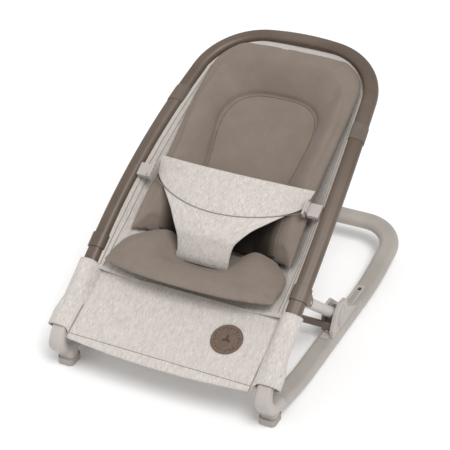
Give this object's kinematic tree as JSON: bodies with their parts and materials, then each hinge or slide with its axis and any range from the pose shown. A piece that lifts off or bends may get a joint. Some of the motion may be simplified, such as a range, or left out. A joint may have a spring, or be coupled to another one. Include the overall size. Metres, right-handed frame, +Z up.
{
  "type": "baby bouncer seat",
  "caption": "Folding bouncer seat: bent-tube base and reclined seat hoop, slung padded cloth, T-shaped belt, sliding support legs with a release bar.",
  "frame": {"origin": "on the floor, at the middle of the footprint", "axes": "+Z up, +Y towards the head end, +X to the right of someone who faces the seat's front"},
  "size_m": [0.422, 0.6422, 0.4198],
  "materials": {
    "base_paint": "satin greige powder coat",
    "frame_paint": "satin brown powder coat",
    "leg_paint": "satin light powder coat",
    "brown_paint": "satin brown powder coat",
    "grey_plastic": "fine moulded texture",
    "brown_plastic": "fine moulded texture",
    "steel": "zinc plated",
    "foot_rubber": "matt",
    "melange_fabric": "melange woven cloth",
    "inlay_fabric": "brushed taupe jersey",
    "patch_leather": "embossed"
  },
  "bodies": {
    "base": {"base_tube": "base_paint", "elbow_left": "grey_plastic", "front_foot_left": "foot_rubber", "rail_grip_left": "foot_rubber", "guide_track_left": "grey_plastic", "rail_stop_left": "grey_plastic", "hinge_pin_left": "steel", "elbow_right": "grey_plastic", "front_foot_right": "foot_rubber", "rail_grip_right": "foot_rubber", "guide_track_right": "grey_plastic", "rail_stop_right": "grey_plastic", "hinge_pin_right": "steel"},
    "seat": {"seat_tube": "frame_paint", "front_cover": "melange_fabric", "seat_cover": "melange_fabric", "inlay_seat": "inlay_fabric", "inlay_back": "inlay_fabric", "belly_belt": "melange_fabric", "badge": "patch_leather", "seat_tube_end_left": "brown_plastic", "leg_bracket_left": "brown_plastic", "leg_top_pin_left": "steel", "inlay_tab_left": "inlay_fabric", "belt_loop_left": "grey_plastic", "belt_hook_left": "grey_plastic", "belt_anchor_left": "brown_plastic", "seat_tube_end_right": "brown_plastic", "leg_bracket_right": "brown_plastic", "leg_top_pin_right": "steel", "inlay_tab_right": "inlay_fabric", "belt_loop_right": "grey_plastic", "belt_hook_right": "grey_plastic", "belt_anchor_right": "brown_plastic"},
    "carriages": {"carriage_left": "grey_plastic", "carriage_cap_left": "grey_plastic", "latch_spring_left": "steel", "carriage_right": "grey_plastic", "carriage_cap_right": "grey_plastic", "latch_spring_right": "steel"},
    "release": {"release_bar": "brown_paint", "release_button_left": "brown_plastic", "release_button_right": "brown_plastic"},
    "latches": {"latch_pin_left": "steel", "latch_pin_right": "steel"},
    "leg_left": {"leg_foot_pin_left": "steel", "support_leg_left": "leg_paint"},
    "leg_right": {"leg_foot_pin_right": "steel", "support_leg_right": "leg_paint"}
  },
  "joints": [
    {"name": "seat_fold", "type": "hinge", "parent": "base", "child": "seat", "pos_m": [0, -0.27725, 0.09232], "axis": [1, 0, 0], "range_deg": [-26, 0]},
    {"name": "leg_left_pivot", "type": "hinge", "parent": "seat", "child": "leg_left", "pos_m": [-0.1875, -0.1473, 0.15646], "axis": [1, 0, 0], "range_deg": [-0.5, 50.27]},
    {"name": "leg_right_pivot", "type": "hinge", "parent": "seat", "child": "leg_right", "pos_m": [0.1875, -0.1473, 0.15646], "axis": [1, 0, 0], "range_deg": [-0.5, 50.27]},
    {"name": "carriage_slide", "type": "slide", "parent": "base", "child": "carriages", "axis": [0, 1, 0], "range_m": [0, 0.04756]},
    {"name": "release_press", "type": "slide", "parent": "carriages", "child": "release", "axis": [0, 1, 0], "range_m": [0, 0.004], "stiffness_N_per_m": 800},
    {"name": "latch_lift", "type": "slide", "parent": "carriages", "child": "latches", "axis": [0, 0, 1], "range_m": [0, 0.0041], "deforming": ["latch_spring_left", "latch_spring_right"]}
  ],
  "couplings": [
    {"joint": "leg_left_pivot", "follows": "seat_fold", "ratio": -1.9142},
    {"joint": "leg_right_pivot", "follows": "seat_fold", "ratio": -1.9142},
    {"joint": "carriage_slide", "follows": "seat_fold", "m_per_rad": -0.10414},
    {"joint": "latch_lift", "follows": "release_press", "ratio": 1}
  ]
}
